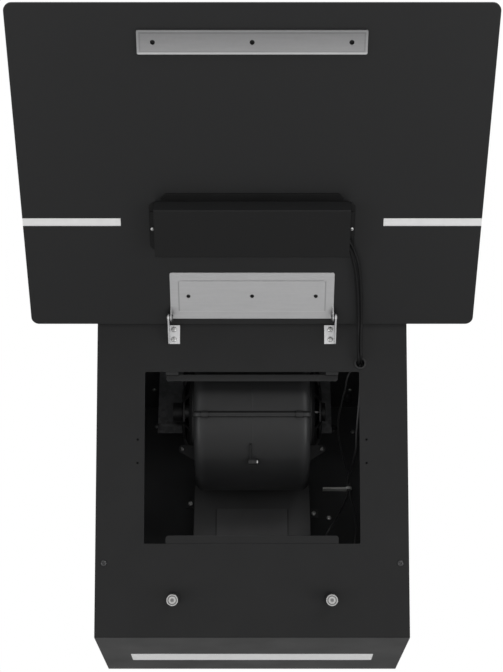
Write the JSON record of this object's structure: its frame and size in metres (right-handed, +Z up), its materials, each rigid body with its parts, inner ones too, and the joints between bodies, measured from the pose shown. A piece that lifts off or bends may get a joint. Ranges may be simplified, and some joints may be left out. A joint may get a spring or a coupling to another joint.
{
  "type": "range hood",
  "caption": "Angled wall-mounted range hood with a swing-up black glass front, scroll blower, top duct collar and underside light.",
  "frame": {"origin": "on the wall plane, midway between the four wall screw holes", "axes": "+X to the right seen from the room, +Y into the wall, +Z up"},
  "size_m": [0.597, 0.7064, 0.6432],
  "materials": {
    "casing_paint": "satin powder coat",
    "zinc": "zinc plated sheet",
    "black_screw": "black",
    "bright_screw": "polished",
    "volute_plastic": "fine grain",
    "impeller_plastic": "plain",
    "motor_case": "grey lacquer",
    "bronze": "plain",
    "shaft_steel": "ground",
    "collar_plastic": "plain",
    "flap_plastic": "plain",
    "box_plastic": "plain",
    "terminal_plastic": "plain",
    "capacitor_can": "drawn",
    "wire_jacket": "soft, dark",
    "grommet_rubber": "soft",
    "opal": "milky",
    "board": "lacquered",
    "hinge_steel": "zinc plated",
    "glass": "black enamelled back, polished",
    "control_metal": "satin",
    "post_plastic": "plain",
    "magnet": "nickel plated"
  },
  "bodies": {
    "body": {"front_shell": "casing_paint", "rear_shell": "casing_paint", "top_plate": "zinc", "filter_ledge_top": "casing_paint", "filter_ledge_bottom": "casing_paint", "casing_screws": "black_screw", "volute_upper": "volute_plastic", "volute_lower": "volute_plastic", "inlet_guard_left": "volute_plastic", "inlet_guard_right": "volute_plastic", "motor": "motor_case", "shaft_bush": "bronze", "volute_screws": "bright_screw", "hanger_plate_left": "zinc", "hanger_plate_right": "zinc", "exhaust_adaptor": "collar_plastic", "exhaust_collar": "collar_plastic", "flap_rod": "shaft_steel", "mains_gland": "collar_plastic", "wiring_box": "box_plastic", "wiring_box_cover": "box_plastic", "wiring_box_screws": "bright_screw", "terminal_block": "terminal_plastic", "capacitor": "capacitor_can", "cable_saddle": "terminal_plastic", "inner_screws": "bright_screw", "inner_wires": "wire_jacket", "cable_grommet": "grommet_rubber", "control_cable": "wire_jacket", "light_lens": "opal", "light_housing": "zinc", "light_board": "board", "hinge_leaf_left": "hinge_steel", "hinge_leaf_right": "hinge_steel", "hinge_screws": "bright_screw", "hinge_pins": "shaft_steel", "catch_posts": "post_plastic", "catch_magnets": "magnet"},
    "impeller_unit": {"impeller": "impeller_plastic", "impeller_shaft": "shaft_steel"},
    "front_flap": {"flap_front": "flap_plastic"},
    "rear_flap": {"flap_rear": "flap_plastic"},
    "door": {"glass_panel": "glass", "side_light_left": "opal", "side_light_right": "opal", "hinge_bracket": "hinge_steel", "strike_plate": "hinge_steel", "control_box_base": "control_metal", "control_box_cover": "control_metal", "control_board": "board", "control_box_screws": "bright_screw"}
  },
  "joints": [
    {"name": "glass_hinge", "type": "hinge", "parent": "body", "child": "door", "pos_m": [0, -0.36728, 0.15278], "axis": [1, 0, 0], "range_deg": [0, 145.6], "deforming": ["control_cable"]},
    {"name": "impeller_spin", "type": "hinge", "parent": "body", "child": "impeller_unit", "pos_m": [0, -0.18619, 0.09136], "axis": [1, 0, 0], "continuous": true},
    {"name": "front_flap_hinge", "type": "hinge", "parent": "body", "child": "front_flap", "pos_m": [0, -0.10219, 0.22228], "axis": [-1, 0, 0], "range_deg": [0, 75]},
    {"name": "rear_flap_hinge", "type": "hinge", "parent": "body", "child": "rear_flap", "pos_m": [0, -0.10219, 0.22228], "axis": [1, 0, 0], "range_deg": [0, 75]}
  ]
}
